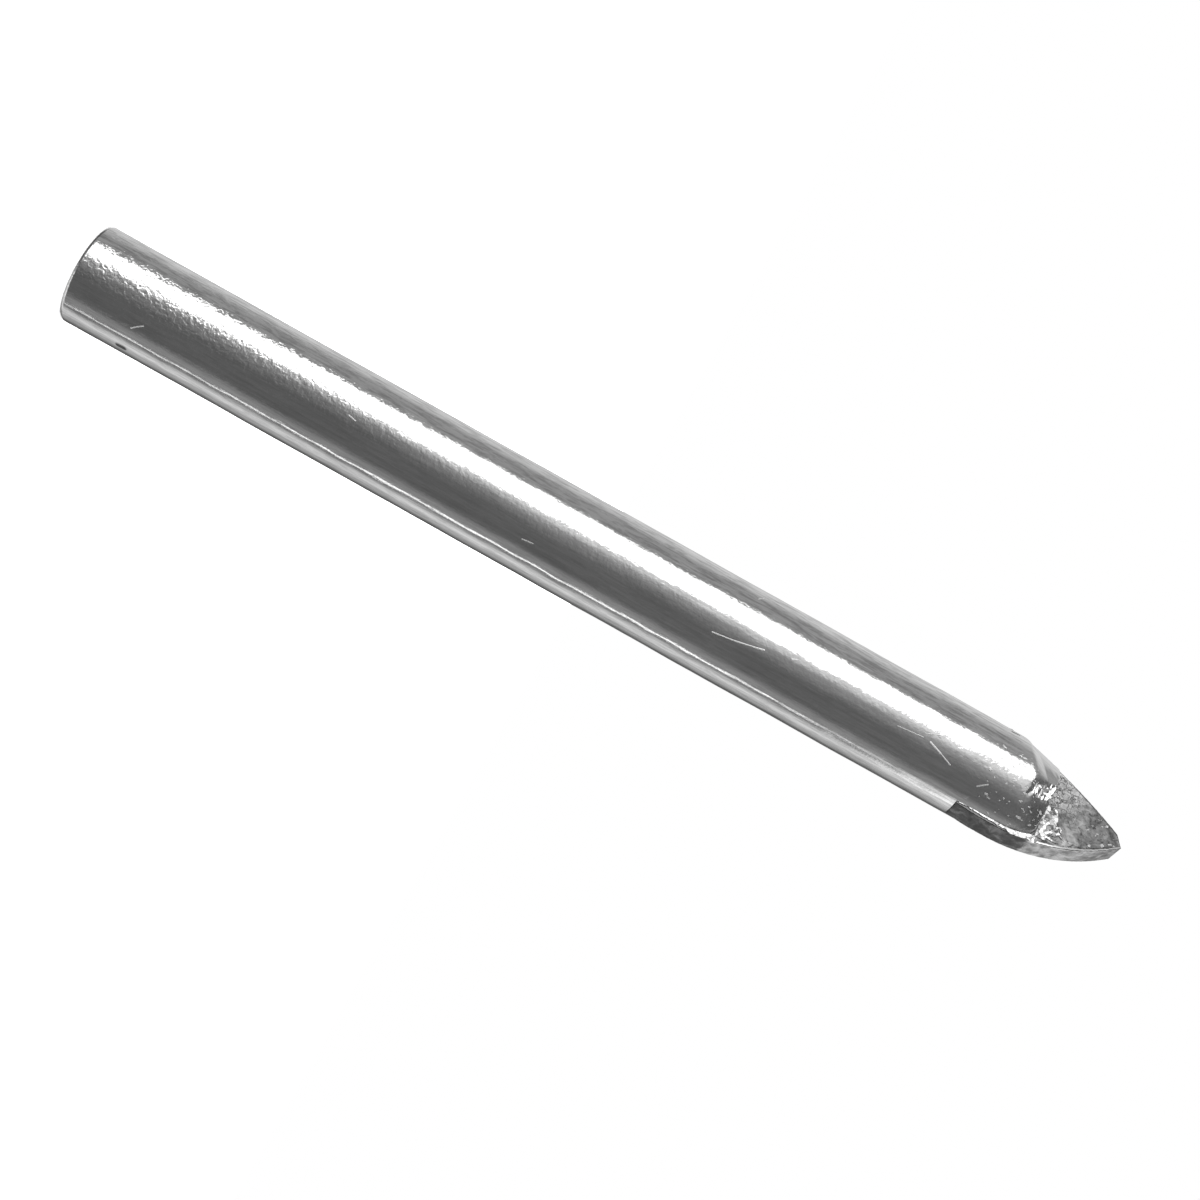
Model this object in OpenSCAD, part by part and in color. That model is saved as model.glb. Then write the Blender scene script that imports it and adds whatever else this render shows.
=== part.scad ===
// Glass and tile drill bit: a plated round steel shank whose ground nose is
// slotted across, and a spear-point hard-metal plate brazed into the slot.
// Millimetres. Origin at the middle of the flat shank end, +Z to the point.

/* [Shank] */
// Diameter of the round shank, the size a chuck grips
shank_d = 6.3; // [5.8:0.05:6.4]
// Length of the steel, from the flat shank end to the end of the nose
steel_len = 64.4; // [45:0.1:90]
// Width of the 45 degree bevel round the shank end
end_bevel = 0.25; // [0.1:0.05:0.6]

/* [Nose] */
// Length along the axis of the cone ground on each jaw
nose_len = 1.9; // [1.5:0.1:2.4]
// Diameter of that cone where the nose ends
nose_d = 4.5; // [4:0.1:4.8]
// How far the cone of each jaw is ground off the axis
nose_shift = 0.5; // [0:0.05:0.6]
// Direction of that shift from +X, on the jaw on the +Y side, in degrees
nose_turn = 166; // [130:1:180]
// Diameter, where the nose ends, of the wider cone on one shoulder of each jaw
shoulder_d = 4.88; // [4.6:0.02:4.9]
// Length along the axis of that wider cone
shoulder_len = 2.95; // [1.8:0.05:3.4]
// How much the slotted head draws in on the radius up to its end
head_draw = 0.05; // [0.01:0.01:0.1]
// Length of plain steel between the start of that taper and the slot's floor
head_back = 0.6; // [0.4:0.1:2]

/* [Slot] */
// Depth of the cross slot, from the end of the nose
slot_depth = 4.8; // [4:0.1:7]
// Thickness of the filler between the plate and the slot
filler_gap = 0.05; // [0.03:0.01:0.1]

/* [Hard-metal plate] */
// Width of the plate, the size of the drilled hole
plate_w = 6.45; // [6.4:0.05:7]
// Thickness of the plate
plate_t = 1.7; // [1.4:0.1:2.2]
// How much narrower each side of the plate is at its rear
side_draw = 0.1; // [0:0.02:0.2]
// How far the point stands out past the steel
point_out = 5.25; // [5:0.05:6.5]
// How far the ground point sits to one side of the axis
point_shift = 0.37; // [0:0.01:0.6]
// Length of the round flank, from the point to the straight side
round_len = 7.55; // [6.5:0.05:7.8]
// Radius of the long, nearly straight flank
bevel_r = 33; // [20:1:120]
// Length along the axis of the steep end facet
facet_len = 0.5; // [0.4:0.02:0.8]
// Width of the steep end facet across the plate
facet_w = 0.75; // [0.6:0.05:1]
// Relief of both flanks behind their cutting edges, in degrees
relief = 1; // [0:0.5:6]

/* [Filler] */
// Leg of the filler fillet between the nose end and the plate faces
fillet = 0.25; // [0.1:0.05:0.35]

/* [Hidden] */
$fn = 180;

shank_r = shank_d / 2;
nose_r = nose_d / 2;
nose_k = (shank_r - nose_r) / nose_len;
shoulder_r = shoulder_d / 2;
shoulder_k = (shank_r - shoulder_r) / shoulder_len;
slot_z = steel_len - slot_depth;
slot_w = plate_t + 2 * filler_gap;
half_w = plate_w / 2;
half_t = plate_t / 2;
tip_z = steel_len + point_out;
rear_z = slot_z + filler_gap;
tip_x = -point_shift;
head_z = slot_z - head_back;
head_r = shank_r - head_draw;
// the sides of the plate draw in from this height down to its rear
side_z = steel_len - 3.4;
side_k = side_draw / (side_z - rear_z);

// outline of the filler beside the plate, inside the steel on the +Y side
filler_x = sqrt(head_r * head_r - slot_w * slot_w / 4) - 0.01;
jaw_x = nose_shift * cos(nose_turn);
jaw_y = nose_shift * sin(nose_turn);
wall_y = slot_w / 2 - jaw_y;
end_x = sqrt(nose_r * nose_r - wall_y * wall_y) - 0.01;
left_z = steel_len - (norm([filler_x + jaw_x, wall_y]) - nose_r) / nose_k;
right_z = steel_len - (norm([filler_x - jaw_x, wall_y]) - nose_r) / nose_k;
fillet_y = half_t + fillet - jaw_y;
fillet_x = sqrt(nose_r * nose_r - fillet_y * fillet_y) - 0.02;

// round flank: an arc that leaves the straight side smoothly and ends at the point
sag = half_w + tip_x;
round_r = (round_len * round_len + sag * sag) / (2 * sag);
round_c = [round_r - half_w, tip_z - round_len];

// long flank: an arc of radius bevel_r from the edge of the nose to the end facet
bev_a = [nose_r + 0.08, steel_len];
bev_b = [tip_x + facet_w, tip_z - facet_len];
bev_m = (bev_a + bev_b) / 2;
bev_d = bev_b - bev_a;
bev_l = norm(bev_d);
bev_n = [-bev_d[1], bev_d[0]] / bev_l;
bev_c = bev_m + bev_n * sqrt(bevel_r * bevel_r - bev_l * bev_l / 4);
facet_a = atan2(facet_len, facet_w);

// the turned rod, before the nose is ground and the slot is cut
module rod() {
    rotate_extrude()
        polygon([[0, 0], [shank_r - end_bevel, 0], [shank_r, end_bevel],
                 [shank_r, head_z], [head_r, steel_len], [0, steel_len]]);
}

// moves the cone of the jaw on the +Y side off the axis
module off_axis() {
    translate([jaw_x, jaw_y, 0]) children();
}

// cone round the nose, of radius r at the nose end
module nose_cone(r, k) {
    translate([0, 0, slot_z - 1])
        cylinder(h = slot_depth + 3, r1 = r + (slot_depth + 1) * k, r2 = r - 2 * k);
}

// what is ground off the jaw on the +Y side: it keeps the off-axis cone of its
// front and the wider cone of its shoulder
module jaw_grind() {
    difference() {
        translate([-6, 0, slot_z]) cube([12, 6, slot_depth + 1]);
        off_axis() nose_cone(nose_r, nose_k);
        nose_cone(shoulder_r, shoulder_k);
    }
}

// outer form of the steel, before the slot is cut
module steel_form() {
    difference() {
        rod();
        jaw_grind();
        rotate([0, 0, 180]) jaw_grind();
    }
}

// box across the nose, of the slot's width, from height z up
module across(w, z, h) {
    translate([-6, -w / 2, z]) cube([12, w, h]);
}

// all that lies inside the long flank and its end facet
module inside_long_flank() {
    translate([0, half_t, tip_z]) rotate([relief, 0, 0]) translate([0, 0, -tip_z])
        difference() {
            intersection() {
                translate([bev_c[0], 0, bev_c[1]]) rotate([90, 0, 0])
                    cylinder(r = bevel_r, h = 12, center = true, $fn = 720);
                translate([-8, -6, slot_z - 4]) cube([8 + half_w, 12, 20]);
            }
            translate([tip_x, 0, tip_z]) rotate([0, facet_a, 0])
                translate([-6, -8, 0]) cube([16, 16, 6]);
        }
}

// all that lies inside the round flank
module inside_round_flank() {
    translate([0, -half_t, tip_z]) rotate([-relief, 0, 0]) translate([0, 0, -tip_z])
        union() {
            translate([-half_w, -6, slot_z - 4]) cube([14, 12, round_c[1] - slot_z + 4]);
            intersection() {
                translate([round_c[0], 0, round_c[1]]) rotate([90, 0, 0])
                    cylinder(r = round_r, h = 12, center = true, $fn = 360);
                translate([-8, -6, round_c[1]]) cube([16, 12, 16]);
            }
        }
}

// the slight taper of the plate's sides towards its rear
module side_taper() {
    rotate([90, 0, 0]) linear_extrude(8, center = true)
        polygon([[-half_w + (side_z - slot_z) * side_k, slot_z],
                 [half_w - (side_z - slot_z) * side_k, slot_z],
                 [half_w + (tip_z + 1 - side_z) * side_k, tip_z + 1],
                 [-half_w - (tip_z + 1 - side_z) * side_k, tip_z + 1]]);
}

module plate_form() {
    intersection() {
        across(plate_t, rear_z, 20);
        side_taper();
        inside_long_flank();
        inside_round_flank();
    }
}

// layer of filler between the plate and the slot wall on the +Y side
module filler_side() {
    translate([0, slot_w / 2, 0]) rotate([90, 0, 0]) linear_extrude(filler_gap)
        polygon([[-filler_x, slot_z], [filler_x, slot_z], [filler_x, right_z],
                 [jaw_x + end_x, steel_len], [jaw_x - end_x, steel_len],
                 [-filler_x, left_z]]);
}

// filler fillet on the +Y face of the plate, along the end of the jaw
module nose_fillet() {
    translate([jaw_x - fillet_x, 0, 0]) rotate([90, 0, 90]) linear_extrude(2 * fillet_x)
        polygon([[half_t, steel_len], [half_t + fillet, steel_len],
                 [half_t + fillet * 0.42, steel_len + fillet * 0.42],
                 [half_t, steel_len + fillet]]);
}

// plated steel: round shank, bevelled end, ground nose, cross slot
module shank() {
    color("silver")
        difference() {
            steel_form();
            across(slot_w, slot_z, 20);
        }
}

// spear-point plate of hard metal
module carbide_tip() {
    color("dimgray") plate_form();
}

// brazing filler that lines the slot and stands in a fillet at the end of each jaw
module braze_joint() {
    color("gainsboro") {
        translate([-filler_x, -slot_w / 2, slot_z])
            cube([2 * filler_x, slot_w, filler_gap]);
        for (a = [0, 180]) rotate([0, 0, a]) {
            filler_side();
            nose_fillet();
        }
    }
}

shank();
carbide_tip();
braze_joint();
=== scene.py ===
import math

import bmesh
import bpy
import numpy as np
from mathutils import Matrix, Vector


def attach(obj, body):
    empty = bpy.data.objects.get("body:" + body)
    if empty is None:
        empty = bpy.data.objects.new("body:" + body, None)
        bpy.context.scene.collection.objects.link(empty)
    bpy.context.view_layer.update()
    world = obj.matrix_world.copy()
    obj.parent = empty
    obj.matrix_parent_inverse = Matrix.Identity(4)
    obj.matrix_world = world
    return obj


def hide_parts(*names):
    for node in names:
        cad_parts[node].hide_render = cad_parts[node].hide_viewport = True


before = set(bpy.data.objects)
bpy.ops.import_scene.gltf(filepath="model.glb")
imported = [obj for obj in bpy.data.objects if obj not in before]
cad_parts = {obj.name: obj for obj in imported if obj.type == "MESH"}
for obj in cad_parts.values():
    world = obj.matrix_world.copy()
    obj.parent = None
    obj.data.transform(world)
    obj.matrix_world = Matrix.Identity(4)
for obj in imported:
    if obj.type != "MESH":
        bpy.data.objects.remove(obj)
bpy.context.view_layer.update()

# ---------------------------------------------------------------- directions
# Lengths in the mesh code are millimetres and become metres in settle().
PHI = math.radians(31.0)        # turn of the bit about its own axis, as it is seen
ROLL = math.radians(29.229)     # slope of the bit's axis in the picture
SIDE = Vector((math.cos(PHI), math.sin(PHI), 0.0))     # across the bit, as it is seen
FRONT = Vector((-math.sin(PHI), math.cos(PHI), 0.0))   # from the bit towards the camera
UP = Vector((0.0, 0.0, 1.0))

# ---------------------------------------------------------------- sizes, mm
R = 3.15
STEEL = 64.4
HEAD_Z, HEAD_R = 59.0, 3.10
SLOT_Z, SLOT_H = 59.6, 0.90
NOSE_R, NOSE_K = 2.25, (3.15 - 2.25) / 1.9
SHOULDER_R, SHOULDER_K = 2.44, (3.15 - 2.44) / 2.95
JX, JY = 0.5 * math.cos(math.radians(166)), 0.5 * math.sin(math.radians(166))
PLATE_H, PLATE_W, REAR = 0.85, 3.225, 59.65
TIP_X, TIP_Z = -0.37, 69.65
RELIEF = math.tan(math.radians(1.0))
# the round flank's arc, and the long flank's arc through its two ends
ROUND_Z = TIP_Z - 7.55
ROUND_R = (7.55 ** 2 + (PLATE_W + TIP_X) ** 2) / (2 * (PLATE_W + TIP_X))
LONG_R, LONG_A, LONG_B = 33.0, Vector((2.33, STEEL)), Vector((TIP_X + 0.75, TIP_Z - 0.5))
LONG_L = (LONG_B - LONG_A).length
LONG_C = (LONG_A + LONG_B) / 2 + (Vector((LONG_A.y - LONG_B.y, LONG_B.x - LONG_A.x)) / LONG_L
                                  * math.sqrt(LONG_R ** 2 - LONG_L ** 2 / 4))


# ---------------------------------------------------------------- mesh helpers
def to_object(name, verts, faces, sharp=30.0):
    me = bpy.data.meshes.new(name)
    me.from_pydata([tuple(v) for v in verts], [], [tuple(f) for f in faces])
    me.validate()
    bm = bmesh.new()
    bm.from_mesh(me)
    bmesh.ops.recalc_face_normals(bm, faces=bm.faces)
    bm.to_mesh(me)
    bm.free()
    ob = bpy.data.objects.new(name, me)
    bpy.context.scene.collection.objects.link(ob)
    ob["sharp"] = sharp
    return ob


def settle(ob):
    """Millimetres to metres, smooth shading with sharp edges kept."""
    me = ob.data
    me.transform(Matrix.Scale(0.001, 4))
    for p in me.polygons:
        p.use_smooth = True
    me.set_sharp_from_angle(angle=math.radians(ob["sharp"]))
    del ob["sharp"]
    me.update()
    return ob


def bake_modifiers(ob):
    dg = bpy.context.evaluated_depsgraph_get()
    me = bpy.data.meshes.new_from_object(ob.evaluated_get(dg))
    old = ob.data
    ob.modifiers.clear()
    ob.data = me
    bpy.data.meshes.remove(old)


def tube(rings, close_start, close_end):
    """Faces of stacked rings, each with the same number of points."""
    n = len(rings[0])
    verts = [p for ring in rings for p in ring]
    faces = []
    for i in range(len(rings) - 1):
        a, b = i * n, (i + 1) * n
        for j in range(n):
            k = (j + 1) % n
            faces.append((a + j, a + k, b + k, b + j))
    if close_start:
        faces.append(tuple(range(n)))
    if close_end:
        faces.append(tuple(range((len(rings) - 1) * n, len(rings) * n)))
    return verts, faces


def round_waves(th, z, count, m_lo, m_hi, lam_lo, lam_hi, seed):
    """Sum of waves round and along the shank, about -1 to 1."""
    rng = np.random.default_rng(seed)
    out = np.zeros(np.broadcast(th, z).shape)
    for _ in range(count):
        m = int(rng.integers(m_lo, m_hi + 1)) * (1 if rng.random() < 0.5 else -1)
        k = 2 * math.pi / rng.uniform(lam_lo, lam_hi)
        out = out + np.cos(m * th + k * z + rng.uniform(0, 6.283))
    return np.clip(out / (1.6 * math.sqrt(count)), -1, 1)


def flat_waves(x, z, count, lam_lo, lam_hi, seed):
    rng = np.random.default_rng(seed)
    out = np.zeros(np.broadcast(x, z).shape)
    for _ in range(count):
        k = 2 * math.pi / rng.uniform(lam_lo, lam_hi)
        a = rng.uniform(0, 6.283)
        out = out + np.cos(k * (math.cos(a) * x + math.sin(a) * z) + rng.uniform(0, 6.283))
    return np.clip(out / (1.6 * math.sqrt(count)), -1, 1)


def smooth01(t):
    t = np.clip(t, 0, 1)
    return t * t * (3 - 2 * t)


# ---------------------------------------------------------------- shank
SEG = 176
PEEL_AT = math.atan2(FRONT.y, FRONT.x) - math.radians(14)
JAW_AT = math.atan2(FRONT.y, FRONT.x)
RUCK_AT = JAW_AT - math.radians(19)
THETA = np.arange(SEG) * 2 * math.pi / SEG
# flats of crumpled plating: place across and along, tilt across and along, depth
_rng = np.random.default_rng(23)
CRUMPLE = np.column_stack([_rng.uniform(-0.9, 0.9, 60), _rng.uniform(62.3, 64.6, 60),
                           _rng.uniform(-0.14, 0.18, 60), _rng.uniform(-0.50, -0.24, 60),
                           _rng.uniform(0.07, 0.10, 60)])


def jaw_radius(th, z):
    """Distance from the axis to the off-axis cone and the shoulder cone of each jaw."""
    rc = NOSE_R + (STEEL - z) * NOSE_K
    side = np.where(np.sin(th) >= 0, 1.0, -1.0)
    along = side * (JX * np.cos(th) + JY * np.sin(th))
    front = along + np.sqrt(np.maximum(along ** 2 - (JX * JX + JY * JY) + rc * rc, 0.01))
    return np.maximum(front, SHOULDER_R + (STEEL - z) * SHOULDER_K)


def rod_radius(z):
    return np.where(z <= HEAD_Z, R, R + (HEAD_R - R) * (z - HEAD_Z) / (STEEL - HEAD_Z))


def steel_radius(th, z):
    rod, cone = rod_radius(z), jaw_radius(th, z)
    # soft corner between the round and the ground cone, never outside either;
    # on one shoulder of each jaw the grind runs out gently
    turn = (JAW_AT - th + math.radians(75)) % math.pi - math.radians(75)
    k = 0.08 + 0.40 * smooth01((math.radians(30) - turn) / math.radians(22))
    h = np.clip(0.5 + 0.5 * (cone - rod) / k, 0, 1)
    r = cone + (rod - cone) * h - k * h * (1 - h)
    dent = 0.009 * (1 + round_waves(th, z, 26, 1, 4, 5.0, 16.0, 3))
    dent = dent + 0.0035 * (1 + round_waves(th, z, 40, 3, 12, 1.6, 4.0, 4))
    # pebbled plating, coarsest on one side of the shank end
    near_end = smooth01(1 - z / 26.0) * smooth01((np.cos(th - PEEL_AT) - 0.55) / 0.4)
    dent = dent + (0.0006 + 0.0030 * near_end) * (1 + round_waves(th, z, 60, 14, 40, 0.6, 1.4, 5))
    # rucked plating towards the end of each jaw
    ruck = smooth01((z - 62.9) / 1.4)
    dent = dent + 0.010 * ruck * (1 + round_waves(th, z, 50, 12, 40, 0.35, 1.1, 6))
    # crumpled plating on the shoulder: small flats, each tilted its own way
    across = ((RUCK_AT - th + math.pi / 2) % math.pi - math.pi / 2) * 2.6
    rag = round_waves(th, z, 24, 8, 24, 0.8, 2.0, 12)
    on = (z - 62.75 + 0.24 * rag) / 1.7
    wide = 0.28 + 0.37 * np.clip(on, 0, 1)
    knot = np.exp(-((across + 0.30 - 0.45 * on + 0.18 * rag) / wide) ** 4) * smooth01(on / 0.2)
    near = np.argmin((across[..., None] - CRUMPLE[:, 0]) ** 2 + (z[..., None] - CRUMPLE[:, 1]) ** 2, axis=-1)
    flat = CRUMPLE[near]
    tilt = (across - flat[..., 0]) * flat[..., 2] + (z - flat[..., 1]) * flat[..., 3]
    dent = dent + knot * np.clip(flat[..., 4] + tilt, 0.0, 0.18)
    return r - dent


def shank_mesh():
    rings = []
    for rr in (0.25, 0.7, 1.2, 1.7, 2.2, 2.6, 2.8, 2.9):
        hollow = 0.012 * (1 - (rr / 3.0) ** 2)
        rings.append([(rr * math.cos(t), rr * math.sin(t), hollow) for t in THETA])
    for rr, zz in ((2.945, 0.0), (2.962, 0.008), (2.98, 0.024), (3.04, 0.084), (3.095, 0.140),
                   (3.120, 0.172), (3.132, 0.205), (3.137, 0.25)):
        wob = 0.003 * (1 + round_waves(THETA, zz, 12, 2, 18, 3, 9, 8)) * (1 if zz else 0)
        rings.append([((rr - w) * math.cos(t), (rr - w) * math.sin(t), zz)
                      for t, w in zip(THETA, wob)])
    zs = np.concatenate([np.array([0.30, 0.36, 0.45]), np.linspace(0.6, 59.0, 300),
                         np.linspace(59.2, 61.2, 12), np.linspace(61.25, 64.33, 78)])
    for z in zs:
        r = steel_radius(THETA, np.full(SEG, z))
        if z < 0.5:
            r = np.minimum(r, 3.145 - 0.02 * (0.5 - z))
        rings.append([(a * math.cos(t), a * math.sin(t), z) for a, t in zip(r, THETA)])
    last = steel_radius(THETA, np.full(SEG, 64.36))
    lump = 0.010 * (1 + round_waves(THETA, 0.0, 20, 6, 30, 2, 4, 9))
    for f, dz in ((0.997, -0.030), (0.985, -0.012), (0.965, -0.004), (0.8, -0.003), (0.55, -0.003),
                  (0.3, -0.003), (0.08, -0.003)):
        k = 1.0 if f > 0.9 else 0.0
        rings.append([(f * a * math.cos(t), f * a * math.sin(t), STEEL + dz - k * b)
                      for a, b, t in zip(last, lump, THETA)])
    verts, faces = tube(rings, True, True)
    return to_object("shank_body", verts, faces, sharp=38.0)


def cutter():
    x, y, z0, z1 = 6.0, SLOT_H, SLOT_Z, 67.0
    v = [(-x, -y, z0), (x, -y, z0), (x, y, z0), (-x, y, z0),
         (-x, -y, z1), (x, -y, z1), (x, y, z1), (-x, y, z1)]
    f = [(0, 3, 2, 1), (4, 5, 6, 7), (0, 1, 5, 4), (1, 2, 6, 5), (2, 3, 7, 6), (3, 0, 4, 7)]
    return to_object("slot_cutter", v, f)


# ---------------------------------------------------------------- plate
def plate_left(z, y):
    zz = z + RELIEF * (y + PLATE_H)
    side = PLATE_W - max(0.0, 61.0 - z) * 0.0741
    arc = ROUND_R - PLATE_W - math.sqrt(ROUND_R ** 2 - (zz - ROUND_Z) ** 2) if zz > ROUND_Z else -PLATE_W
    return max(arc, -side)


def plate_right(z, y):
    zz = z + RELIEF * (PLATE_H - y)
    side = PLATE_W - max(0.0, 61.0 - z) * 0.0741
    arc = LONG_C.x + math.sqrt(LONG_R ** 2 - (zz - LONG_C.y) ** 2)
    facet = TIP_X + (TIP_Z - zz) * 1.5
    return min(side, arc, facet)


def plate_top(y):
    a, b = 69.0, 69.8
    for _ in range(50):
        m = (a + b) / 2
        if plate_right(m, y) - plate_left(m, y) > 0.012:
            a = m
        else:
            b = m
    return a


WORN = 0.075        # width of the worn facet along the edges of the plate's faces


def plate_mesh():
    """Stacked rings: a face, a rounded edge, a flank, an edge, and so round."""
    n_face, n_side, n_edge, er = 66, 12, 4, 0.05
    steps = np.concatenate([np.linspace(0, 0.93, 160)[:-1], np.linspace(0.93, 1.0, 34)])
    tops = {}
    rings = []
    for t in steps:
        ring = []

        def span(y):
            key = round(y, 5)
            if key not in tops:
                tops[key] = plate_top(key)
            z = REAR + (tops[key] - REAR) * t
            return plate_left(z, y), plate_right(z, y), z

        for s in (1, -1):
            # the face, from one edge to the other
            a, b, z = span(s * PLATE_H)
            chip = er * (1 + 0.35 * math.sin(z * 7.3 + s) * math.sin(z * 17.1 + 1.3))
            inset = min(chip, 0.25 * (b - a))
            wear_and_streak_shade = min(WORN, 0.2 * (b - a))
            lo, hi = a + inset + wear_and_streak_shade, b - inset - wear_and_streak_shade
            xs = np.concatenate([[a + inset], np.linspace(lo, hi, n_face - 2), [b - inset]])
            for x in (xs[::-1] if s > 0 else xs):
                fade = smooth01((min(x - a, b - x) - inset - wear_and_streak_shade) / 0.16)
                d = 0.012 * (1 + flat_waves(x, z, 18, 0.8, 2.4, 21 + s))
                d += 0.006 * (1 + flat_waves(x, z, 24, 0.35, 0.8, 31 + s))
                d = float(d * fade) + (0.2 * wear_and_streak_shade if x < lo - 1e-6 or x > hi + 1e-6 else 0.0)
                ring.append((x, s * (PLATE_H - d), z))
            # the rounded edge, the flank and the next rounded edge
            out = -1 if s > 0 else 1
            for j in range(1, n_edge):
                q = j / n_edge * math.pi / 2
                y = s * (PLATE_H - 0.2 * wear_and_streak_shade - inset * (1 - math.cos(q)))
                a, b, z = span(y)
                e = a if out < 0 else b
                ring.append((e - out * inset * (1 - math.sin(q)), y, z))
            for j in range(n_side + 1):
                y = s * (PLATE_H - 0.2 * wear_and_streak_shade - inset) * (1 - 2 * j / n_side)
                a, b, z = span(y)
                e = a if out < 0 else b
                d = 0.003 * (1 + float(flat_waves(y, z, 20, 0.4, 1.2, 41 + s)))
                d *= smooth01(min(j, n_side - j) / 2.0)
                ring.append((e - out * min(float(d), 0.2 * (b - a)), y, z))
            for j in range(1, n_edge):
                q = (1 - j / n_edge) * math.pi / 2
                y = -s * (PLATE_H - 0.2 * wear_and_streak_shade - inset * (1 - math.cos(q)))
                a, b, z = span(y)
                e = a if out < 0 else b
                ring.append((e - out * inset * (1 - math.sin(q)), y, z))
        rings.append(ring)
    verts, faces = tube(rings, True, True)
    return to_object("carbide_plate", verts, faces, sharp=34.0)


# ---------------------------------------------------------------- filler beads
def jaw_edge(z, sign):
    """x of the slot's edge on the +Y jaw, at the side of the given sign."""
    rod = math.sqrt(rod_radius(np.array(z)).item() ** 2 - SLOT_H ** 2)
    if sign > 0:
        return min(rod, math.sqrt((SHOULDER_R + (STEEL - z) * SHOULDER_K) ** 2 - SLOT_H ** 2))
    q = math.sqrt(max((NOSE_R + (STEEL - z) * NOSE_K) ** 2 - (SLOT_H - JY) ** 2, 0.01))
    return max(-rod, JX - q)


def lump(bm, x, y, z, rx, ry, rz, turn=0.0):
    mat = (Matrix.Translation((x, y, z)) @ Matrix.Rotation(turn, 4, "Y")
           @ Matrix.Diagonal((rx, ry, rz, 1.0)))
    bmesh.ops.create_icosphere(bm, subdivisions=2, radius=1.0, matrix=mat)


def bead_half(jaw):
    """Filler round one jaw, in that jaw's own turn: lumps along the slot's edges and flakes."""
    bm = bmesh.new()
    rng = np.random.default_rng(5)

    def room(z):
        if jaw > 0:
            return plate_left(z, PLATE_H), plate_right(z, PLATE_H)
        return -plate_right(z, -PLATE_H), -plate_left(z, -PLATE_H)

    # thickness of the bead along the slot's edges, from the slot's floor to the jaw's end
    at = (59.8, 61.0, 62.4, 63.4, 64.0, 64.45)
    for sign, thick in ((-1, (0.05, 0.08, 0.13, 0.21, 0.27, 0.29)),
                        (1, (0.030, 0.030, 0.035, 0.04, 0.05, 0.06))):
        z = 59.75
        while z < 64.5:
            r = float(np.interp(z, at, thick)) * rng.uniform(0.65, 1.25)
            skip = z < 61.2 and rng.random() > 0.7
            x = jaw_edge(min(z, STEEL), sign)
            ledge = (x - room(z)[0]) if sign < 0 else (room(z)[1] - x)
            size = min(r, max(0.04, ledge * 1.1))
            if not skip and not (z > STEEL and ledge < 0):
                lump(bm, x + sign * (0.01 - 0.03 * rng.random()), 0.885 + 0.02 * rng.random(), z,
                     size * 1.1, min(size, 0.14) * 0.9, size * rng.uniform(1.0, 1.7), rng.uniform(-0.4, 0.4))
            z += max(0.05, r * 0.9)
    # rough fillet along the jaw's end
    x = jaw_edge(STEEL, -1) + 0.05
    while x < jaw_edge(STEEL, 1) - 0.05:
        r = rng.uniform(0.06, 0.13)
        if room(STEEL)[0] + r < x < room(STEEL)[1] - r:
            lump(bm, x, PLATE_H + 0.01, STEEL + 0.03 + 0.05 * rng.random(), r * 1.2, r * 0.75,
                 r * rng.uniform(0.9, 1.5), rng.uniform(-0.6, 0.6))
        x += r * 1.1
    # smeared flakes on the plate's face past the jaw's end: x, z, half width, half length, turn
    for fx, fz, rx, rz, turn in ((-0.30, 64.70, 0.26, 0.24, 0.3), (-0.66, 64.90, 0.30, 0.30, -0.5),
                                 (-1.08, 64.95, 0.36, 0.40, 0.2), (-0.55, 65.36, 0.16, 0.13, 0.6),
                                 (-0.98, 65.42, 0.24, 0.16, -0.4), (-1.55, 64.95, 0.36, 0.44, 0.4),
                                 (-2.00, 64.88, 0.32, 0.44, 0.1), (-2.34, 64.88, 0.18, 0.48, -0.1),
                                 (-1.45, 65.52, 0.16, 0.28, 0.7), (-1.85, 65.42, 0.14, 0.36, 0.3),
                                 (-1.30, 65.90, 0.08, 0.30, -0.9), (-1.66, 65.98, 0.07, 0.30, -0.7),
                                 (-2.18, 65.46, 0.09, 0.36, 0.1), (-2.22, 65.80, 0.06, 0.34, 0.1),
                                 (-0.42, 65.20, 0.26, 0.24, 0.4), (-0.86, 65.34, 0.32, 0.28, -0.3),
                                 (-1.34, 65.46, 0.28, 0.34, 0.3), (-1.78, 65.56, 0.20, 0.36, 0.2),
                                 (-0.25, 65.10, 0.12, 0.10, 0.0), (0.05, 64.76, 0.16, 0.16, 0.4),
                                 (0.45, 64.72, 0.14, 0.14, -0.3), (0.85, 64.70, 0.14, 0.12, 0.2),
                                 (1.20, 64.70, 0.12, 0.12, 0.5), (0.62, 65.02, 0.09, 0.08, 0.0),
                                 (1.15, 64.98, 0.08, 0.10, 0.3), (0.25, 65.12, 0.08, 0.07, 0.0)):
        lo, hi = room(fz + rz)
        if fx - rx < lo + 0.05:
            fx = lo + 0.05 + rx
        lump(bm, fx, PLATE_H - 0.02, fz, rx, 0.11, rz, turn)
    me = bpy.data.meshes.new("half")
    bm.to_mesh(me)
    bm.free()
    pts = [(jaw * v.co.x, jaw * v.co.y, v.co.z) for v in me.vertices]
    polys = [tuple(p.vertices) for p in me.polygons]
    bpy.data.meshes.remove(me)
    return pts, polys


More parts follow.
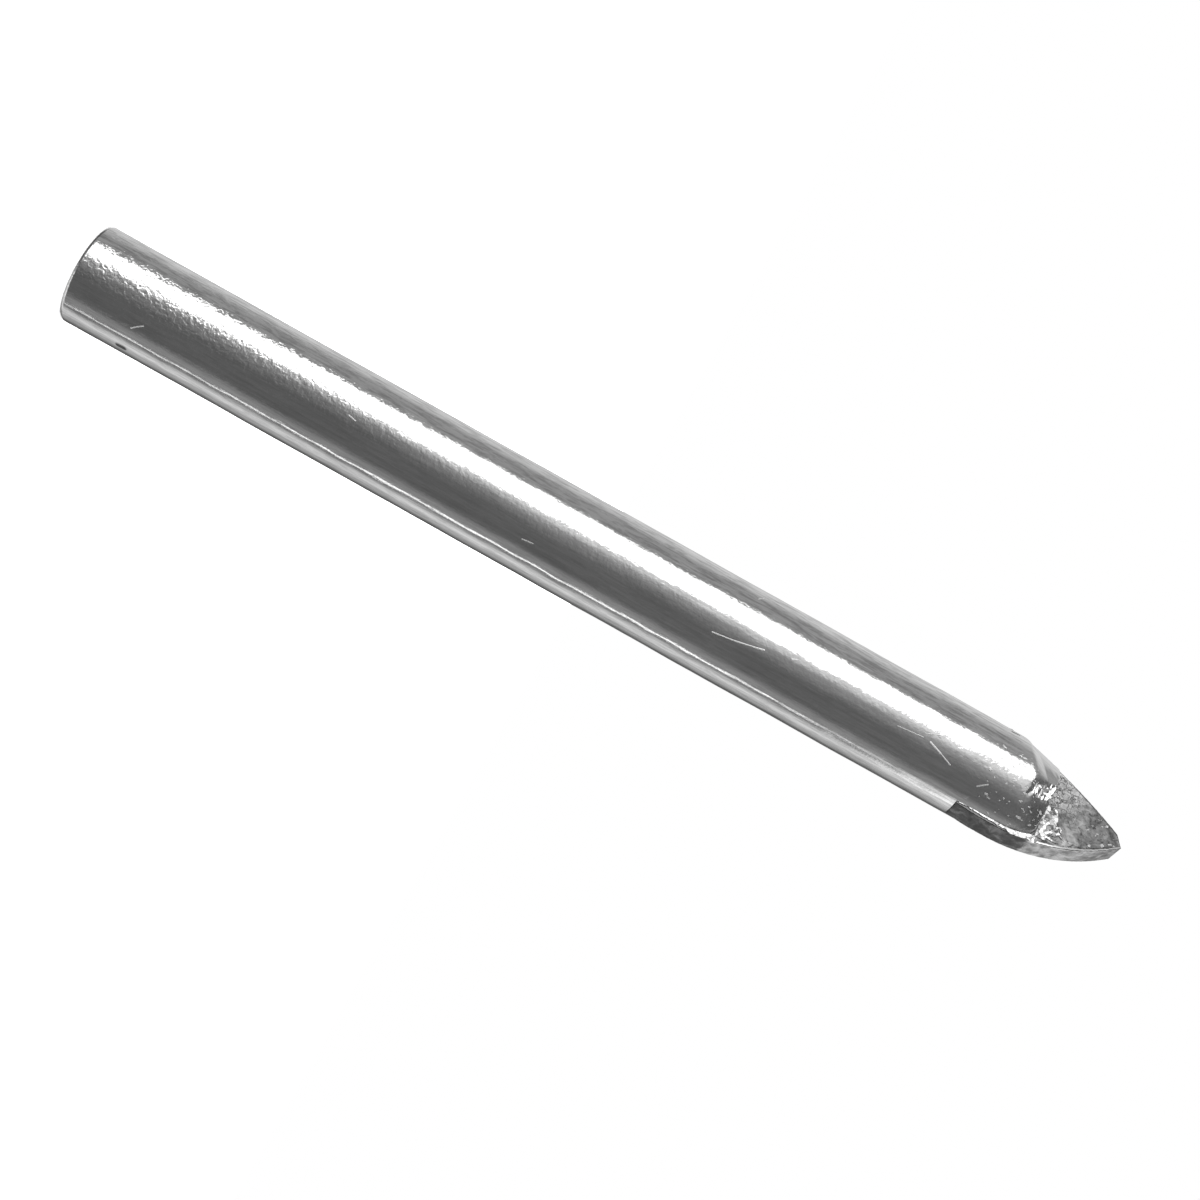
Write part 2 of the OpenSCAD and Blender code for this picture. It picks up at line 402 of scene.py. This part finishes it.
def bead_mesh():
    pts, polys = bead_half(1)
    far, more = bead_half(-1)
    polys += [tuple(i + len(pts) for i in f) for f in more]
    ob = to_object("braze_bead", pts + far, polys, sharp=60.0)
    mod = ob.modifiers.new("remesh", "REMESH")
    mod.mode = "VOXEL"
    mod.voxel_size = 0.036
    bake_modifiers(ob)
    me = ob.data
    co = np.zeros(len(me.vertices) * 3)
    me.vertices.foreach_get("co", co)
    co = co.reshape(-1, 3)
    ends = np.zeros(len(me.edges) * 2, dtype=np.int32)
    me.edges.foreach_get("vertices", ends)
    ends = ends.reshape(-1, 2)
    for _ in range(2):
        total, count = np.zeros_like(co), np.zeros(len(co))
        for a, b in ((0, 1), (1, 0)):
            np.add.at(total, ends[:, a], co[ends[:, b]])
            np.add.at(count, ends[:, a], 1)
        co = 0.5 * co + 0.5 * total / np.maximum(count, 1)[:, None]
    co[:, 0] = np.clip(co[:, 0], -3.2, 3.2)
    # the filler lies flat on the plate's faces, on the ledge beside each jaw and
    # past its end, each patch a little out of level
    level = PLATE_H + 0.034 + 0.014 * flat_waves(co[:, 0], co[:, 2], 14, 0.35, 0.9, 51)
    ledge = smooth01((-np.sign(co[:, 1]) * co[:, 0] - 1.6) / 0.2)
    level = level + 0.035 * ledge * smooth01((STEEL + 0.2 - co[:, 2]) / 0.3)
    lying = np.maximum(smooth01((co[:, 2] - STEEL - 0.12) / 0.14), ledge)
    pressed = np.minimum(np.abs(co[:, 1]), level)
    co[:, 1] = np.sign(co[:, 1]) * (np.abs(co[:, 1]) * (1 - lying) + pressed * lying)
    me.vertices.foreach_set("co", co.ravel())
    me.update()
    return ob


# ---------------------------------------------------------------- node helpers
class Graph:
    def __init__(self, tree):
        self.tree = tree
        tree.nodes.clear()

    def node(self, kind, **props):
        nd = self.tree.nodes.new(kind)
        for k, v in props.items():
            setattr(nd, k, v)
        return nd

    def put(self, socket, value):
        if isinstance(value, bpy.types.NodeSocket):
            self.tree.links.new(value, socket)
        elif value is not None:
            socket.default_value = value

    def math(self, op, a, b=None, c=None):
        nd = self.node("ShaderNodeMath", operation=op)
        for s, v in zip(nd.inputs, (a, b, c)):
            self.put(s, v)
        return nd.outputs[0]

    def vec(self, op, a, b=None, scale=None):
        nd = self.node("ShaderNodeVectorMath", operation=op)
        self.put(nd.inputs[0], a)
        if b is not None:
            self.put(nd.inputs[1], b)
        if scale is not None:
            self.put(nd.inputs["Scale"], scale)
        return nd.outputs["Value"] if op in ("DOT_PRODUCT", "LENGTH", "DISTANCE") else nd.outputs[0]

    def span(self, v, a, b, c=0.0, d=1.0, smooth=True):
        nd = self.node("ShaderNodeMapRange")
        nd.interpolation_type = "SMOOTHSTEP" if smooth else "LINEAR"
        for s, x in zip(nd.inputs, (v, a, b, c, d)):
            self.put(s, x)
        return nd.outputs[0]

    def noise(self, v, scale, detail=2.0, rough=0.5, twist=0.0):
        nd = self.node("ShaderNodeTexNoise")
        self.put(nd.inputs["Vector"], v)
        for k, x in (("Scale", scale), ("Detail", detail), ("Roughness", rough), ("Distortion", twist)):
            nd.inputs[k].default_value = x
        return nd.outputs[0]

    def cells(self, v, scale, feature="F1"):
        nd = self.node("ShaderNodeTexVoronoi", feature=feature)
        self.put(nd.inputs["Vector"], v)
        nd.inputs["Scale"].default_value = scale
        return nd.outputs["Distance"]

    def plates(self, v, scale, tilt):
        """Irregular flat cells: a random grey per cell, and a height that tilts each one."""
        nd = self.node("ShaderNodeTexVoronoi")
        self.put(nd.inputs["Vector"], v)
        nd.inputs["Scale"].default_value = scale
        grey = self.node("ShaderNodeSeparateColor")
        self.put(grey.inputs[0], nd.outputs["Color"])
        slope = self.vec("SCALE", self.vec("SUBTRACT", nd.outputs["Color"], (0.5, 0.5, 0.5)), scale=2 * tilt)
        rel = self.vec("SUBTRACT", v, nd.outputs["Position"])
        return grey.outputs[0], self.vec("DOT_PRODUCT", rel, slope)

    def ramp(self, v, stops):
        nd = self.node("ShaderNodeValToRGB")
        self.put(nd.inputs[0], v)
        el = nd.color_ramp.elements
        while len(el) < len(stops):
            el.new(0.5)
        for e, (p, g) in zip(el, stops):
            e.position = p
            e.color = (g, g, g, 1.0)
        return nd.outputs[0]

    def mix(self, fac, a, b):
        """Blend of two grey levels."""
        return self.math("ADD", self.math("MULTIPLY", a, self.math("SUBTRACT", 1.0, fac)),
                         self.math("MULTIPLY", b, fac))

    def grey(self, v):
        nd = self.node("ShaderNodeCombineColor")
        for s in nd.inputs:
            self.put(s, v)
        return nd.outputs[0]

    def bump(self, height, distance, normal=None, strength=1.0):
        nd = self.node("ShaderNodeBump")
        self.put(nd.inputs["Height"], height)
        nd.inputs["Distance"].default_value = distance
        nd.inputs["Strength"].default_value = strength
        self.put(nd.inputs["Normal"], normal)
        return nd.outputs[0]

    def millimetres(self, sx=1.0, sy=1.0, sz=1.0):
        tc = self.node("ShaderNodeTexCoord")
        return self.vec("MULTIPLY", tc.outputs["Object"], (1000.0 * sx, 1000.0 * sy, 1000.0 * sz))

    def line(self, at, p, q, width):
        """1 on the straight mark from p to q, fading over its width."""
        d = tuple(b - a for a, b in zip(p, q))
        ll = sum(c * c for c in d)
        rel = self.vec("SUBTRACT", at, p)
        h = self.math("DIVIDE", self.vec("DOT_PRODUCT", rel, d), ll)
        h = self.math("MINIMUM", self.math("MAXIMUM", h, 0.0), 1.0)
        off = self.vec("SUBTRACT", rel, self.vec("SCALE", d, scale=h))
        return self.span(self.vec("LENGTH", off), width * 0.45, width, 1.0, 0.0)


def new_material(name):
    m = bpy.data.materials.new(name)
    m.use_nodes = True
    return m, Graph(m.node_tree)


def finish_shader(g, colour, rough, normal, metallic=1.0):
    s = g.node("ShaderNodeBsdfPrincipled")
    out = g.node("ShaderNodeOutputMaterial")
    s.inputs["Metallic"].default_value = metallic
    g.put(s.inputs["Base Color"], colour)
    g.put(s.inputs["Roughness"], rough)
    g.put(s.inputs["Normal"], normal)
    g.tree.links.new(s.outputs[0], out.inputs[0])


def on_shank(z, u):
    """Point on the steel's front, z along the axis and u across as it is seen."""
    r = R
    for _ in range(8):
        p = SIDE * u + FRONT * math.sqrt(max(r * r - u * u, 0.0)) + UP * z
        r = float(steel_radius(np.array([math.atan2(p.y, p.x)]), np.array([z]))[0])
    return (p.x, p.y, p.z)


# ---------------------------------------------------------------- materials
def plated_steel():
    m, g = new_material("bright_plate")
    mm = g.millimetres()
    long_mm = g.millimetres(1.0, 1.0, 0.05)
    peel = g.noise(mm, 4.0, 1.5, 0.45, 0.4)
    pits = g.noise(mm, 6.5, 2.0, 0.5)
    drawn = g.noise(long_mm, 5.0, 3.0, 0.6)
    patch = g.noise(g.millimetres(0.5, 0.5, 0.16), 1.0, 2.0, 0.5)
    z = g.node("ShaderNodeSeparateXYZ")
    g.put(z.inputs[0], mm)
    zz = z.outputs[2]
    # light marks from handling, each a chain of straight strokes
    strokes = [((4.47, -1.59), (4.75, -1.36), 0.05), ((4.75, -1.36), (5.09, -1.14), 0.05),
               ((42.4, -0.53), (43.8, -0.34), 0.040), ((43.8, -0.34), (45.1, -0.08), 0.045),
               ((45.1, -0.08), (45.55, 0.02), 0.055), ((56.5, 0.07), (57.35, -0.22), 0.060),
               ((57.35, -0.22), (58.15, -0.52), 0.040), ((60.1, -0.83), (60.6, -0.45), 0.050),
               ((18.0, 0.15), (18.5, 0.05), 0.04), ((30.2, -1.2), (30.9, -1.12), 0.030),
               ((54.4, -0.03), (56.0, 0.13), 0.028), ((56.0, 0.38), (56.9, 0.73), 0.030),
               ((47.2, 0.35), (47.5, 0.47), 0.045), ((43.9, 2.50), (44.2, 2.70), 0.040),
               ((16.4, 0.57), (16.8, 0.83), 0.040)]
    marks = None
    for (z0, u0), (z1, u1), w in strokes:
        k = g.line(mm, on_shank(z0, u0), on_shank(z1, u1), w)
        marks = k if marks is None else g.math("MAXIMUM", marks, k)
    # bright specks where the plating broke up beside the slot
    spot = g.noise(g.millimetres(1.0, 1.0, 0.7), 4.4, 1.5, 0.5, 0.5)
    spot = g.span(spot, 0.645, 0.685)
    ahead = g.vec("DOT_PRODUCT", mm, tuple(FRONT / R))
    ahead = g.math("MAXIMUM", ahead, g.math("MULTIPLY", ahead, -1.0))
    spot = g.math("MULTIPLY", spot, g.math("MULTIPLY", g.span(zz, 59.6, 60.8), g.span(ahead, 0.66, 0.80)))
    marks = g.math("MAXIMUM", marks, spot)
    # one dark nick near the shank's end and one at the head
    nick = g.line(mm, on_shank(3.98, -2.84), on_shank(4.36, -2.83), 0.26)
    nick = g.math("MAXIMUM", nick, g.line(mm, on_shank(60.75, 2.99), on_shank(61.2, 3.02), 0.12))
    tone = g.math("ADD", 0.755, g.math("MULTIPLY", g.math("SUBTRACT", patch, 0.5), 0.10))
    tone = g.math("ADD", tone, g.math("MULTIPLY", g.math("SUBTRACT", drawn, 0.5), 0.30))
    # axial streaks, darkened most on the side that is at the top as seen, about half as much on the opposite
    # side and less towards the head: the drawn streaks are real, but their darkening on those sides is
    # painted shade standing in for a darker streaky reflection
    streak = g.noise(g.millimetres(1.0, 1.0, 0.16), 4.2, 4.0, 0.70, 0.3)
    aside = g.vec("DOT_PRODUCT", mm, tuple(SIDE / R))
    wear_and_streak_shade = g.math("MAXIMUM", g.span(aside, 0.50, 0.66, 0.25, 1.0), g.span(aside, -0.58, -0.72, 0.25, 0.55))
    wear_and_streak_shade = g.math("MULTIPLY", wear_and_streak_shade, g.span(zz, 61.0, 62.4, 1.0, 0.2))
    streak = g.math("MULTIPLY", g.span(streak, 0.40, 0.66), wear_and_streak_shade)
    tone = g.math("MULTIPLY", tone, g.math("SUBTRACT", 1.08, g.math("MULTIPLY", streak, 0.40)))
    tone = g.mix(marks, tone, 0.93)
    tone = g.mix(nick, tone, 0.10)
    rough = g.math("ADD", 0.055, g.math("MULTIPLY", patch, 0.08))
    rough = g.mix(marks, rough, 0.55)
    rough = g.mix(nick, rough, 0.55)
    # pebbled on the side of the shank end that the solid is pebbled on, smoother elsewhere
    toward = g.vec("DOT_PRODUCT", mm, (math.cos(PEEL_AT) / R, math.sin(PEEL_AT) / R, 0.0))
    peeled = g.math("MULTIPLY", g.span(zz, 4.0, 26.0, 1.0, 0.30), g.span(toward, 0.60, 0.95, 0.06, 1.0))
    n = g.bump(g.math("MULTIPLY", peel, peeled), 0.000036)
    n = g.bump(pits, 0.0000022, n)
    n = g.bump(drawn, 0.000003, n)
    n = g.bump(g.noise(g.millimetres(1.0, 1.0, 0.35), 2.2, 4.0, 0.62, 0.3), 0.000005, n)
    n = g.bump(g.math("SUBTRACT", marks, nick), 0.00001, n)
    finish_shader(g, g.grey(tone), rough, n)
    return m


def carbide_face():
    m, g = new_material("carbide_face")
    mm = g.millimetres()
    big = g.noise(mm, 0.7, 2.0, 0.5, 0.8)
    mid = g.noise(mm, 1.9, 3.0, 0.55, 1.2)
    form = g.noise(mm, 2.6, 1.0, 0.5, 0.8)
    fine = g.noise(mm, 9.0, 2.0, 0.6)
    v = g.math("ADD", g.math("MULTIPLY", big, 0.45), g.math("MULTIPLY", mid, 0.55))
    tone = g.ramp(v, ((0.36, 0.11), (0.45, 0.20), (0.54, 0.30), (0.66, 0.46)))
    # pale crumbs, and dark pits between them
    crumb = g.span(g.cells(mm, 3.4), 0.10, 0.26, 1.0, 0.0)
    crumb = g.math("MULTIPLY", crumb, g.span(big, 0.46, 0.58))
    tone = g.mix(g.math("MULTIPLY", crumb, 0.6), tone, 0.60)
    pit = g.span(g.noise(mm, 3.8, 1.5, 0.5, 0.8), 0.38, 0.31)
    tone = g.mix(g.math("MULTIPLY", pit, 0.75), tone, 0.06)
    sep = g.node("ShaderNodeSeparateXYZ")
    g.put(sep.inputs[0], mm)
    x, y, z = sep.outputs
    warp = g.node("ShaderNodeTexNoise")
    g.put(warp.inputs["Vector"], mm)
    warp.inputs["Scale"].default_value = 3.0
    at = g.vec("ADD", mm, g.vec("SCALE", warp.outputs["Color"], scale=0.8))
    broken = g.math("MULTIPLY", g.span(x, -0.6, 0.6), g.span(z, 67.0, 65.4))
    crack = g.span(g.cells(at, 2.1, "DISTANCE_TO_EDGE"), 0.015, 0.06, 1.0, 0.0)
    crack = g.math("MULTIPLY", crack, broken)
    tone = g.mix(g.math("MULTIPLY", broken, 0.40), tone, 0.47)
    tone = g.mix(g.math("MULTIPLY", crack, g.span(mid, 0.40, 0.58, 0.15, 0.70)), tone, 0.09)
    ahead = g.span(z, 66.8, 67.8)
    pebble = g.span(g.cells(at, 2.2), 0.14, 0.32, 1.0, 0.0)
    tone = g.mix(ahead, tone, g.mix(pebble, g.math("MULTIPLY", tone, 0.62), 0.44))
    rough = g.math("ADD", 0.26, g.math("MULTIPLY", mid, 0.22))
    form = g.math("ADD", form, g.math("MULTIPLY", crumb, 0.30))
    form = g.math("SUBTRACT", form, g.math("MULTIPLY", crack, 0.8))
    form = g.math("ADD", form, g.math("MULTIPLY", g.math("MULTIPLY", pebble, ahead), 0.5))
    n = g.bump(form, 0.000034)
    n = g.bump(fine, 0.000004, n)
    finish_shader(g, g.grey(tone), rough, n)
    return m


def carbide_ground():
    m, g = new_material("carbide_ground")
    mm = g.millimetres()
    sep = g.node("ShaderNodeSeparateXYZ")
    g.put(sep.inputs[0], mm)
    x, y, z = sep.outputs
    cloud = g.noise(mm, 1.7, 3.0, 0.6, 0.4)
    lines = g.noise(g.millimetres(1.0, 0.12, 1.0), 14.0, 2.0, 0.6)
    # the flanks are freshly ground past the jaws and dark as fired beside the slot
    line = g.math("ADD", z, g.math("MULTIPLY", g.math("SUBTRACT", cloud, 0.5), 0.5))
    fresh = g.span(line, 64.25, 64.75)
    old = g.ramp(cloud, ((0.38, 0.07), (0.52, 0.11), (0.66, 0.21)))
    new = g.ramp(cloud, ((0.36, 0.29), (0.50, 0.52), (0.64, 0.78)))
    new = g.math("ADD", new, g.math("MULTIPLY", g.math("SUBTRACT", lines, 0.5), 0.16))
    tone = g.mix(fresh, old, new)
    rough = g.mix(fresh, 0.42, 0.30)
    n = g.bump(cloud, 0.00002)
    n = g.bump(lines, 0.000004, n)
    finish_shader(g, g.grey(tone), rough, n)
    return m


def carbide_edge():
    m, g = new_material("carbide_edge")
    mm = g.millimetres()
    chips = g.noise(mm, 6.0, 3.0, 0.6)
    sep = g.node("ShaderNodeSeparateXYZ")
    g.put(sep.inputs[0], mm)
    fresh = g.span(sep.outputs[2], 63.6, 64.6)
    bright = g.math("MULTIPLY", g.math("ADD", 0.52, g.math("MULTIPLY", chips, 0.45)),
                    g.span(sep.outputs[2], 64.9, 66.8, 1.0, 0.38))
    tone = g.mix(fresh, 0.16, bright)
    rough = g.math("ADD", 0.12, g.math("MULTIPLY", chips, 0.12))
    finish_shader(g, g.grey(tone), rough, g.bump(chips, 0.000008))
    return m


def filler():
    m, g = new_material("braze_filler")
    mm = g.millimetres()
    warp = g.node("ShaderNodeTexNoise")
    g.put(warp.inputs["Vector"], mm)
    warp.inputs["Scale"].default_value = 2.5
    at = g.vec("ADD", mm, g.vec("SCALE", warp.outputs["Color"], scale=0.45))
    value, lean = g.plates(at, 3.0, 0.08)
    seam = g.span(g.cells(at, 3.0, "DISTANCE_TO_EDGE"), 0.01, 0.06, 1.0, 0.0)
    fine = g.noise(mm, 7.0, 2.0, 0.6)
    sep = g.node("ShaderNodeSeparateXYZ")
    g.put(sep.inputs[0], mm)
    smear = g.ramp(g.math("ADD", g.math("MULTIPLY", value, 0.6), g.math("MULTIPLY", fine, 0.4)),
                   ((0.22, 0.28), (0.42, 0.46), (0.58, 0.64), (0.78, 0.88)))
    bright = g.ramp(value, ((0.0, 0.62), (0.5, 0.84), (1.0, 0.95)))
    tone = g.mix(g.span(sep.outputs[2], 64.30, 64.62), bright, smear)
    tone = g.math("MULTIPLY", tone, g.math("SUBTRACT", 1.0, g.math("MULTIPLY", seam, 0.6)))
    rough = g.math("ADD", 0.16, g.math("MULTIPLY", fine, 0.22))
    n = g.bump(lean, 0.001)
    n = g.bump(fine, 0.000008, n)
    finish_shader(g, g.grey(tone), rough, n)
    return m


# ---------------------------------------------------------------- build
shank = shank_mesh()
cut = cutter()
mod = shank.modifiers.new("slot", "BOOLEAN")
mod.operation = "DIFFERENCE"
mod.solver = "EXACT"
mod.object = cut
bake_modifiers(shank)
bpy.data.objects.remove(cut)
shank["sharp"] = 38.0
settle(shank)

plate = settle(plate_mesh())
bead = settle(bead_mesh())

steel, face, ground, edge, braze = (plated_steel(), carbide_face(), carbide_ground(),
                                    carbide_edge(), filler())
shank.data.materials.clear()
shank.data.materials.append(steel)
plate.data.materials.append(face)
plate.data.materials.append(ground)
plate.data.materials.append(edge)
for p in plate.data.polygons:
    flat = abs(p.normal.y)
    at = p.center * 1000.0
    rim = min(at.x - plate_left(at.z, at.y), plate_right(at.z, at.y) - at.x)
    p.material_index = 1 if flat < 0.25 else 2 if flat < 0.9 or rim < WORN + 0.03 else 0
bead.data.materials.append(braze)
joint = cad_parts["braze_joint"]
joint.data.materials.clear()
joint.data.materials.append(braze)

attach(shank, "root")
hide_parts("shank")
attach(plate, "root")
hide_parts("carbide_tip")
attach(bead, "root")

# ---------------------------------------------------------------- floor
floor_mesh = bpy.data.meshes.new("floor")
floor_mesh.from_pydata([(-3, -3, 0), (3, -3, 0), (3, 3, 0), (-3, 3, 0)], [], [(0, 1, 2, 3)])
floor = bpy.data.objects.new("floor", floor_mesh)
bpy.context.scene.collection.objects.link(floor)
fm, fg = new_material("pale_floor")
fs = fg.node("ShaderNodeBsdfDiffuse")
fs.inputs["Color"].default_value = (0.9, 0.9, 0.9, 1.0)
fo = fg.node("ShaderNodeOutputMaterial")
fg.tree.links.new(fs.outputs[0], fo.inputs[0])
floor.data.materials.append(fm)
floor.visible_glossy = False


# ---------------------------------------------------------------- studio light
# White surroundings, with soft cards round the bit that its plating reflects.
# Each card: middle, half width and softness in degrees round the bit from the
# camera's side, its light, then lowest and highest edge and their softness.
CARDS = (
    (50.0, 20.0, 3.0, 1.50, -10.6, 9.6, 1.4),  # large soft box, front above
    (53.5, 16.5, 3.0, 1.50, 9.6, 34, 1.4),     # its end towards the point
    (52.8, 17.2, 3.0, 1.50, -60, -10.6, 1.4),  # its end towards the shank end
    (32.0, 14.0, 10.0, 0.50, -8, 30, 7),       # its soft lower edge
    (36.0, 10.0, 10.0, 0.50, -60, -8, 7),      # the same towards the shank end
    (24.0, 22.0, 16.0, 0.11, -60, 30, 14),     # its spill on the front
    (14.0, 20.0, 18.0, 0.11, -2, 30, 9),       # more spill towards the point
    (96.0, 34.0, 14.0, 0.21, -90, 45, 10),     # grey wall above
    (150.0, 26.0, 22.0, 0.58, -26, 90, 6),     # pale wall behind, above
    (-111.0, 12.0, 8.0, 0.32, -90, 90, 10),    # pale wall behind, below
    (-125.0, 19.0, 12.0, 0.33, -90, 90, 10),   # its far part
    (-118.0, 30.0, 16.0, 0.45, 36, 90, 10),    # ceiling over it
    (-97.0, 11.0, 4.0, 0.80, 8.4, 40, 2.6),    # bright corner towards the point
    (-89.5, 2.0, 0.8, 1.40, -9.5, 6, 3),       # narrow strip
    (-89.5, 1.5, 0.8, 1.00, -60, -9.5, 3),     # its end towards the shank end
    (-80.0, 12.0, 10.0, 0.16, -60, 30, 12),    # fall-off beside the strip
    (-120.0, 60.0, 20.0, 0.42, -90, -34, 8),   # light from the table behind, below
    (-30.0, 44.0, 24.0, -0.040, 42, 90, 8),    # dark flag over the front
)
BASE = 0.115

world = bpy.data.worlds.new("studio")
bpy.context.scene.world = world
world.use_nodes = True
w = Graph(world.node_tree)
tc = w.node("ShaderNodeTexCoord")
d = w.vec("NORMALIZE", tc.outputs["Generated"])
az = w.math("ARCTAN2", w.vec("DOT_PRODUCT", d, tuple(SIDE)), w.vec("DOT_PRODUCT", d, tuple(FRONT)))
az = w.math("MULTIPLY", az, 180 / math.pi)
el = w.math("MULTIPLY", w.math("ARCSINE", w.vec("DOT_PRODUCT", d, (0, 0, 1))), 180 / math.pi)
light = BASE
for mid, half, soft, level, lo, hi, esoft in CARDS:
    off = w.math("ABSOLUTE", w.math("WRAP", w.math("SUBTRACT", az, mid), 180.0, -180.0))
    part = w.span(off, max(half - soft, 0.0), half + soft, level, 0.0)
    if lo > -90:
        part = w.math("MULTIPLY", part, w.span(el, lo - esoft, lo + esoft))
    if hi < 90:
        part = w.math("MULTIPLY", part, w.span(el, hi - esoft, hi + esoft, 1.0, 0.0))
    light = w.math("ADD", light, part)
ray = w.node("ShaderNodeLightPath")
plain = w.node("ShaderNodeBackground")
plain.inputs["Color"].default_value = (1, 1, 1, 1)
plain.inputs["Strength"].default_value = 1.0
soft = w.node("ShaderNodeBackground")
soft.inputs["Color"].default_value = (1, 1, 1, 1)
soft.inputs["Strength"].default_value = 2.6
cards = w.node("ShaderNodeBackground")
w.put(cards.inputs["Color"], w.grey(light))
m1, m2 = w.node("ShaderNodeMixShader"), w.node("ShaderNodeMixShader")
w.put(m1.inputs[0], ray.outputs["Is Glossy Ray"])
w.tree.links.new(soft.outputs[0], m1.inputs[1])
w.tree.links.new(cards.outputs[0], m1.inputs[2])
w.put(m2.inputs[0], ray.outputs["Is Camera Ray"])
w.tree.links.new(m1.outputs[0], m2.inputs[1])
w.tree.links.new(plain.outputs[0], m2.inputs[2])
wo = w.node("ShaderNodeOutputWorld")
w.tree.links.new(m2.outputs[0], wo.inputs[0])

# ---------------------------------------------------------------- camera
cam = bpy.data.cameras.new("camera")
cam.lens = 70.5
cam.sensor_fit = "HORIZONTAL"
cam.sensor_width = 36.0
cam.clip_start = 0.001
cam.clip_end = 20.0
cam.dof.use_dof = False
cam_ob = bpy.data.objects.new("camera", cam)
bpy.context.scene.collection.objects.link(cam_ob)
target = UP * 0.03585 + SIDE * -0.002078
right = UP * math.cos(ROLL) + SIDE * math.sin(ROLL)
above = UP * -math.sin(ROLL) + SIDE * math.cos(ROLL)
place = target + FRONT * 0.13874
pose = Matrix((right, above, FRONT)).transposed().to_4x4()
pose.translation = place
cam_ob.matrix_world = pose
bpy.context.scene.camera = cam_ob
bpy.context.scene.view_settings.view_transform = "Standard"
bpy.context.scene.view_settings.look = "None"

# ---------------------------------------------------------------- update
bpy.context.view_layer.update()
